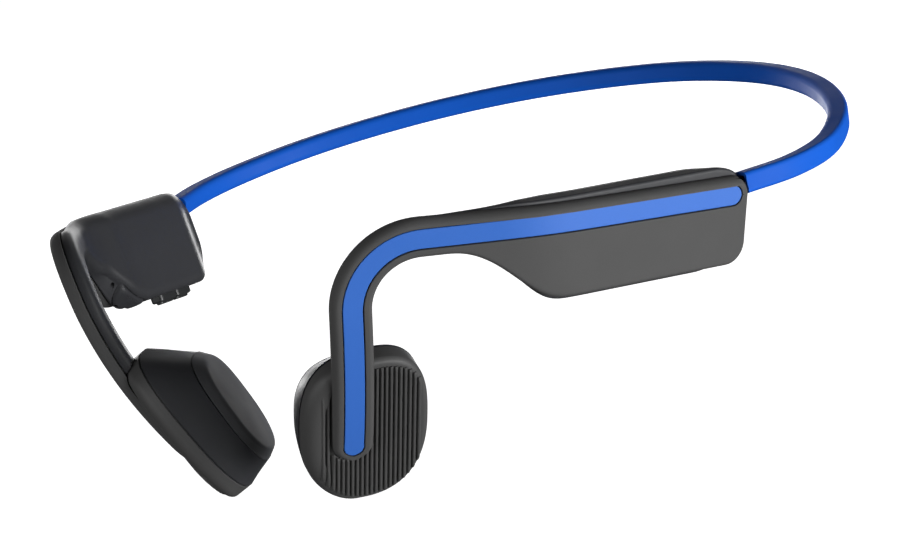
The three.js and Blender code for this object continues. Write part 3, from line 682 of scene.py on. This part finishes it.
def unit_matrix():
    along = np.array([math.sin(UNIT_HEADING), math.cos(UNIT_HEADING), 0])
    level = np.array([math.cos(UNIT_HEADING), -math.sin(UNIT_HEADING), 0])
    high = np.array([0, 0, 1])
    up = level * math.sin(UNIT_TILT) + high * math.cos(UNIT_TILT)
    out = level * math.cos(UNIT_TILT) - high * math.sin(UNIT_TILT)
    x = along * math.cos(UNIT_ROLL) + up * math.sin(UNIT_ROLL)
    y = -along * math.sin(UNIT_ROLL) + up * math.cos(UNIT_ROLL)
    return np.stack([x, y, out])


UNIT = unit_matrix()


def in_unit(points):
    return np.asarray(points, float) @ UNIT + np.array(UNIT_CENTRE)


OUTLINE_TURN = np.linspace(0, 2 * math.pi, 128, endpoint=False)


def rounded_outline(half, z, drop=0, inset=0, tilt=0, relief=None):
    """A rounded ring at this height; the inset and the height may differ round it."""
    c, s = np.cos(OUTLINE_TURN), np.sin(OUTLINE_TURN)
    power = 2 / np.where(s > 0, ROUNDNESS[1], ROUNDNESS[0])
    x = (half[0] - inset) * np.sign(c) * np.abs(c) ** power
    y = (half[1] - inset) * np.sign(s) * np.abs(s) ** power
    z = z + tilt * y - (relief(x, y) if relief else 0)
    return in_unit(np.stack([x, y + drop, z], 1))


def shrunk(half, by):
    return half[0] - by, half[1] - by


def outline_height(half, x, power):
    return half[1] * max(0, 1 - abs(x / half[0]) ** power) ** (1 / power)


def unit_envelope(side):
    below = rounded_outline(shrunk(CAP_HALF, -SEAM), -FACE_DEPTH - 4)
    return loft("unit_cut", [below, *cap_rim(SEAM)], None, side)


def rim_round(angle):
    """How broadly the cap rolls over at its rim: most at its front."""
    return CAP_ROUND + (FRONT_ROUND - CAP_ROUND) * smooth((-np.cos(angle) - 0.1) / 0.8)


def cap_rim(margin=0):
    """The rings of the cap's rolled rim, or of the same rim a margin further out."""
    roll = rim_round(OUTLINE_TURN)
    rings = []
    for turn in np.radians(np.linspace(0, 90, 16)):
        height = roll * (math.sin(turn) - 1) + margin
        rings.append(rounded_outline(shrunk(CAP_HALF, -margin), height, inset=roll * (1 - math.cos(turn))))
    return rings


def dish(x, y):
    """How far the cap's face sinks beside the strap, in front of it."""
    across = smooth(share(x, DISH["front"])) * smooth(share(x, DISH["back"]))
    return DISH["depth"] * across * smooth(share(y, DISH["low"]))


def cap_height(x, y):
    """The cap's face over x and y, down to where it rolls over at the rim."""
    power = ROUNDNESS[1] if y > 0 else ROUNDNESS[0]
    reach = (abs(x / CAP_HALF[0]) ** power + abs(y / CAP_HALF[1]) ** power) ** (1 / power)
    from_rim = (1 - min(reach, 1)) * CAP_HALF[0]
    return -end_rounding(from_rim, rim_round(math.atan2(y / CAP_HALF[1], x / CAP_HALF[0]))) - dish(x, y)


RIB_FLANK = [(0.2, 1), (0.4, 0.75), (0.5, 0.35), (0.5, -0.6)]  # across and up, as shares; the foot in mm
RIB_PROFILE = [(-across, up) for across, up in RIB_FLANK[::-1]] + RIB_FLANK
RIB_ENDS = {"start": 0.12, "length": 0.45}  # where a rib's ends round down


def ribs(side):
    """Raised bars up and down the cap: whole beside the strap, and only below its tip under it."""
    count = RIB_FIELD["each_side"]
    points, faces = [], []
    for i in range(-count, count + 1):
        x = RIB_FIELD["x"] + i * RIB_PITCH
        lower, upper = (outline_height(RIB_FIELD["half"], i * RIB_PITCH, power) for power in ROUNDNESS)
        aside = abs(x - STRAP_TIP["x"])
        low, high = RIB_FIELD["y"] - lower, RIB_FIELD["y"] + upper
        if aside < STRAP_TIP["radius"]:
            high = STRAP_TIP["y"] - math.sqrt(STRAP_TIP["radius"] ** 2 - aside**2)
        rows = 36
        first = len(points)
        for y in np.linspace(low, high, rows):
            ends = min(1, (min(y - low, high - y) + RIB_ENDS["start"]) / RIB_ENDS["length"])
            tall = RIB_HEIGHT * math.sqrt(max(0, 1 - (1 - ends) ** 2))
            for across, up in RIB_PROFILE:
                z = cap_height(x + across * RIB_WIDTH, y)
                points.append((x + across * RIB_WIDTH, y, z + (up * tall if up > 0 else up)))
        faces += loft_faces(rows, len(RIB_PROFILE), first)
    return make_piece("ribs", in_unit(points), faces, None, side)


def cap(side):
    """The ribbed outer cap with its rolled rim."""
    roll = rim_round(OUTLINE_TURN)
    bevel = 0.1
    rings = [rounded_outline(shrunk(CAP_HALF, bevel), -CAP_DEPTH)]
    rings.append(rounded_outline(CAP_HALF, -CAP_DEPTH + bevel))
    rings += cap_rim()
    for scale in (0.985, *np.linspace(0.96, 0.02, 32)):
        half = [h * scale for h in CAP_HALF]
        rings.append(rounded_outline(half, 0, inset=roll * scale, relief=dish))
    name = "left_pressing_cap" if side == "left" else "right_fixed_cap"
    piece = loft(name, rings, "ribbed", side)
    hollow = [rounded_outline(shrunk(CAP_HALF, WALL), z) for z in (-CAP_DEPTH - 1, -CAP_ROOF)]
    skirt = [rounded_outline(shrunk(CAP_HALF, LIP), z) for z in (-CAP_DEPTH - 1, -CAP_DEPTH + LIP_DEPTH)]
    carve(piece, ribs(side), how="UNION")
    carve(piece, loft("hollow", hollow, None, side), loft("skirt", skirt, None, side))
    if side == "left":
        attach(piece, "multifunction_button")
        stands_for(piece, "left_multifunction_button")
    else:
        ride(piece, side)
        stands_for(piece, "right_ribbed_cap")


HOUSING = [  # half sizes, depth, drop and tilt of the housing's outline, from the cap to the face
    ((10.6, 14.4), -3.95, 0, 0),
    ((10.25, 13.1), -6.0, -0.65, -0.01),
    ((9.8, 11.8), -8.0, -1.45, -0.03),
    ((9.35, 10.75), -9.7, -2.1, -0.05),
]


def through(rows, t):
    """A smooth value through evenly numbered rows (Catmull-Rom), for t from 0 to the last row."""
    rows = np.asarray(rows, float)
    i = min(int(t), len(rows) - 2)
    f = t - i
    before, after = rows[max(i - 1, 0)], rows[min(i + 2, len(rows) - 1)]
    a, b = rows[i], rows[i + 1]
    slope_a, slope_b = (b - before) / 2, (after - a) / 2
    return (
        a * (2 * f**3 - 3 * f**2 + 1)
        + slope_a * (f**3 - 2 * f**2 + f)
        + b * (3 * f**2 - 2 * f**3)
        + slope_b * (f**3 - f**2)
    )


def housing_rings(inset, count=18):
    rows = [(*half, z, drop, tilt) for half, z, drop, tilt in HOUSING]
    rings = []
    for t in np.linspace(0, len(rows) - 1, count):
        x, y, z, drop, tilt = through(rows, t)
        rings.append(rounded_outline((x - inset, y - inset), z, drop, tilt=tilt))
    return rings


def housing(side):
    """The transducer's housing, whose neck reaches up inside the cap's skirt."""
    out = UNIT[2]
    inner = housing_rings(HOUSING_WALL)
    hollow = loft("hollow", [inner[0] + out, *inner, inner[-1] - out], None, side)
    shoulder = HOUSING[0][1] + 0.02
    neck = [rounded_outline(shrunk(CAP_HALF, LIP + NECK_PLAY), z) for z in (-CAP_DEPTH, shoulder)]
    piece = carve(loft(f"{side}_housing", [*neck, *housing_rings(0)], "shell", side), hollow)
    stands_for(ride(piece, side), f"{side}_transducer_housing")


PAD = [  # half sizes, depth and drop of the pad: its plug, then its wall up to the face's soft rim
    ((7.6, 8.5), -8.6, -2.2),
    ((7.6, 8.5), -9.82, -2.2),
    ((9.31, 10.68), -9.82, -2.13),
    ((9.14, 10.25), -10.3, -2.3),
    ((8.98, 9.85), -10.75, -2.45),
    ((8.88, 9.65), -10.98, -2.53),
    ((8.74, 9.45), -11.16, -2.6),
    ((8.55, 9.25), -11.29, -2.65),
    ((8.3, 9.0), -11.37, -2.7),
]


def cheek_pad(side):
    """The soft face that rests on the cheekbone, with its plug into the housing."""
    rings = [rounded_outline(half, z, drop, tilt=FACE_TILT) for half, z, drop in PAD]
    for scale in (0.985, 0.96, 0.7, 0.4, 0.02):
        half = [h * scale for h in FACE_HALF]
        rings.append(rounded_outline(half, -FACE_DEPTH, FACE_DROP, tilt=FACE_TILT))
    piece = loft(f"{side}_cheek_pad", rings, "pad", side, sharp=50)
    stands_for(ride(piece, side), f"{side}_contact_pad")


# ---- Controls under the right pod -----------------------------------------------------------------


def low_edge(u, w):
    inwards = share(w, (-OUTER_SKIN - GAP, inner_depth(u)))
    return facet_lift(u) * inwards - lower_reach(u) - belly(u)


def underside(u, w, height):
    """A point over the pod's underside, measured up into the pod."""
    return strap_ring(s_at(u), [(low_edge(u, w) + height, w)])[0]


def rounded_rectangle(half_width, half_depth, corner, count):
    outline = []
    for sx, sy, start in ((1, 1, 0), (-1, 1, 90), (-1, -1, 180), (1, -1, 270)):
        centre = (sx * (half_width - corner), sy * (half_depth - corner))
        outline += arc(centre, corner, start, count=count)
    return outline


def flap_ring(half_width, half_depth, height, corner=1.2):
    """A rounded rectangle that follows the underside around the port."""
    outline = rounded_rectangle(half_width, half_depth, min(corner, half_depth * 0.95), 10)
    return np.array([underside(PORT["u"] + x, PORT["w"] + y, height) for x, y in outline])


def port_block(name, margin, low, high):
    """A block through the shell's wall in the flap's outline."""
    half = (PORT["width"] / 2 + margin, PORT["depth"] / 2 + margin)
    rings = [flap_ring(*half, h, 1.2 + margin) for h in (low, high)]
    return loft(name, rings, None, "right")


def port_flap():
    """The port's cover, a little proud of the underside, with a rounded edge."""
    half, edge = (PORT["width"] / 2, PORT["depth"] / 2), 0.2
    rings = [flap_ring(*half, h) for h in (PORT["thickness"], 0.3)]
    for turn in np.radians(np.linspace(0, 90, 7)):
        inset = (edge + PORT["proud"]) * (1 - math.cos(turn))
        height = edge - (edge + PORT["proud"]) * math.sin(turn)
        rings.append(flap_ring(half[0] - inset, half[1] - inset, height))
    rings += [flap_ring(half[0] * k, half[1] * k, -PORT["proud"]) for k in (0.7, 0.5, 0.25, 0.03)]
    piece = loft("port_flap", rings, "shell", "right")
    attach(piece, "charging_port_cover")
    stands_for(piece, "charging_port_cover")


def underside_frame(u, w):
    """Origin and axes on the underside: x along it, y up into the pod, z outwards."""
    along, up, out = (axis[0] for axis in arm_axes(u))
    rise = line_height(u + 2) + low_edge(u + 2, w) - line_height(u - 2) - low_edge(u - 2, w)
    slope = math.atan2(rise, 4)
    x = along * math.cos(slope) + up * math.sin(slope)
    y = -along * math.sin(slope) + up * math.cos(slope)
    origin = arm_point(u, line_height(u) + low_edge(u, w), w)[0]
    return origin, np.stack([x, y, out])


def key_ring(u, half_width, half_depth, height, corner=0.7):
    """A flat rounded rectangle on the underside, at this height up into the pod."""
    origin, axes = underside_frame(u, BUTTON_W)
    corner = min(corner, half_width * 0.9, half_depth * 0.9)
    outline = rounded_rectangle(half_width, half_depth, corner, 8)
    return np.array([(x, height, z) for x, z in outline]) @ axes + origin


def button_slot():
    """One slot for both volume keys."""
    ends = [u + side * width / 2 for side, (u, width) in zip((-1, 1), BUTTONS.values())]
    middle, half = (ends[0] + ends[1]) / 2, (ends[1] - ends[0]) / 2 + SEAM
    rings = [key_ring(middle, half, BUTTON_DEPTH / 2 + SEAM, h, 0.85) for h in (-3, 3)]
    return loft("slot", rings, None, "right")


KEY_STEM = 1.5
KEY_LEVELS = [  # inset from the key's side, and height over its proud base, negative outwards
    (0, 0.45),
    (0.05, 0.3),
    (0.2, 0.16),
    (0.4, 0.12),
    (0.55, 0.1),
    (0.58, -0.1),
    (0.68, -0.22),
    (0.85, -0.26),
]


def volume_key(name):
    """A stepped key: a low base with a raised crest along its middle."""
    u, width = BUTTONS[name]
    x, z, proud = width / 2, BUTTON_DEPTH / 2, BUTTON_PROUD
    rings = [key_ring(u, x, z, KEY_STEM)]
    rings += [key_ring(u, x - inset, z - inset, lift - proud) for inset, lift in KEY_LEVELS]
    piece = loft(f"{name}_key", rings, "button", "right")
    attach(piece, f"{name}_button")
    stands_for(piece, f"{name}_button")


def microphone_bore(side):
    mouth = underside(MICROPHONE["u"], MICROPHONE["w"], 0)
    end = arm_point(*MICROPHONE["end"])[0]
    start = mouth + (mouth - end) * 0.3
    axis = (end - start) / np.linalg.norm(end - start)
    aside = np.cross(axis, [0, 0, 1])
    aside /= np.linalg.norm(aside)
    other = np.cross(axis, aside)
    turn = np.linspace(0, 2 * math.pi, 24, endpoint=False)[:, None]
    ring = MICROPHONE["radius"] * (np.cos(turn) * aside + np.sin(turn) * other)
    return loft("bore", [ring + start, ring + end], None, side)


# ---- Neckband ------------------------------------------------------------------------------------


def pod_point(u, v, w):
    """A point in the pod's own straight frame."""
    along, up, out = (axis[0] for axis in arm_axes(POD_END))
    return foot(TURN[1])[0] + along * (u - TURN[1]) + up * v + out * w


def band_curve():
    """Centripetal Catmull-Rom through the band's points, sampled finely."""
    start = pod_point(POD_END + GAP, *BAND_ENTRY)
    left = [start, *(np.array(k, float) for k in BAND_KNOTS)]
    knots = np.array([*left, np.array(BAND_BACK, float), *(p * MIRROR for p in left[::-1])])
    padded = np.array([2 * knots[0] - knots[1], *knots, 2 * knots[-1] - knots[-2]])
    points = []
    for i in range(1, len(padded) - 2):
        p = padded[i - 1 : i + 3]
        t = np.concatenate([[0], np.cumsum(np.linalg.norm(np.diff(p, axis=0), axis=1) ** 0.5)])
        for x in np.linspace(t[1], t[2], 40, endpoint=False):
            a = [(p[k] * (t[k + 1] - x) + p[k + 1] * (x - t[k])) / (t[k + 1] - t[k]) for k in range(3)]
            b = [(a[k] * (t[k + 2] - x) + a[k + 1] * (x - t[k])) / (t[k + 2] - t[k]) for k in range(2)]
            points.append((b[0] * (t[2] - x) + b[1] * (x - t[1])) / (t[2] - t[1]))
    points.append(knots[-1])
    return np.array(points)


def band_rings(outline, line):
    """The outline carried along a line, its first axis kept upright."""
    rings = []
    tangents = np.gradient(line, axis=0)
    for point, tangent in zip(line, tangents):
        tangent = tangent / np.linalg.norm(tangent)
        up = np.array([0, 0, 1]) - tangent * tangent[2]
        up /= np.linalg.norm(up)
        out = np.cross(tangent, up)
        rings.append(np.array([point + up * a + out * b for a, b in outline]))
    return rings


def evenly_along(line, count):
    length = np.concatenate([[0], np.cumsum(np.linalg.norm(np.diff(line, axis=0), axis=1))])
    at = np.linspace(0, length[-1], count)
    return np.stack([np.interp(at, length, line[:, k]) for k in range(3)], 1)


def flexes(piece, *nodes):
    """Bakes the piece's placement into its mesh, and hides the CAD nodes it takes the place of."""
    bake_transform(piece)
    stands_for(piece, *nodes)


def circle(radius, offset=0, count=16):
    turn = np.linspace(0, 2 * math.pi, count, endpoint=False)
    return [(offset + radius * math.cos(t), radius * math.sin(t)) for t in turn]


def neckband():
    line = evenly_along(band_curve(), 260)
    r, bore = BAND_RADIUS, BAND_BORE
    skin = section(-r, r, -r, r, BAND_CORNER, BAND_CORNER, BAND_CORNER, flats=2, count=7)
    inside = section(-bore, bore, -bore, bore, 0.4, 0.4, 0.4, flats=2, count=7)
    sleeve = pipe("neckband_skin", band_rings(skin, line), band_rings(inside, line), "band")
    flexes(sleeve, "neckband_sleeve_left", "neckband_flex_section", "neckband_sleeve_right")
    ends = [pod_point(u, *BAND_ENTRY) for u in (67, 69, POD_END - 1)]
    whole = np.array([*ends, *line[4:-4], *(p * MIRROR for p in ends[::-1])])
    whole = evenly_along(whole, 220)
    for name, node, offset, radius, slot in (
        ("neckband_spring_wire", "neckband_core_wire", -WIRE_OFFSET, CORE_RADIUS, "steel"),
        ("neckband_wiring", "neckband_cable", WIRE_OFFSET, CABLE_RADIUS, "wire"),
    ):
        wire = loft(name, band_rings(circle(radius, offset, 12), whole), slot)
        flexes(wire, node)


def band_hole(side):
    half = BAND_BORE + 0.2
    v, w = BAND_ENTRY
    square = [(half, half), (-half, half), (-half, -half), (half, -half)]
    rings = [[pod_point(POD_END + d, v + a, w + b) for a, b in square] for d in (-4, 4)]
    return loft("band_cut", [np.array(r) for r in rings], None, side)


# ---- Assembly ------------------------------------------------------------------------------------


def ride(piece, side):
    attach(piece, f"{side}_side")
    return piece


def dress_frame():
    """The CAD nodes that stay in sight, or inside, take the same procedural materials."""
    for row in frame["record"]["subparts"]:
        node = frame["nodes"][row["node"]]
        node.data.materials.clear()
        node.data.materials.append(materials[row["material_slot"]])


materials = make_materials()
make_camera()
make_stage()
dress_frame()
for arm in ("left", "right"):
    face_shell(arm)
    inlay(arm)
    body_shell(arm)
    cap(arm)
    housing(arm)
    cheek_pad(arm)
port_flap()
for key in BUTTONS:
    volume_key(key)
neckband()
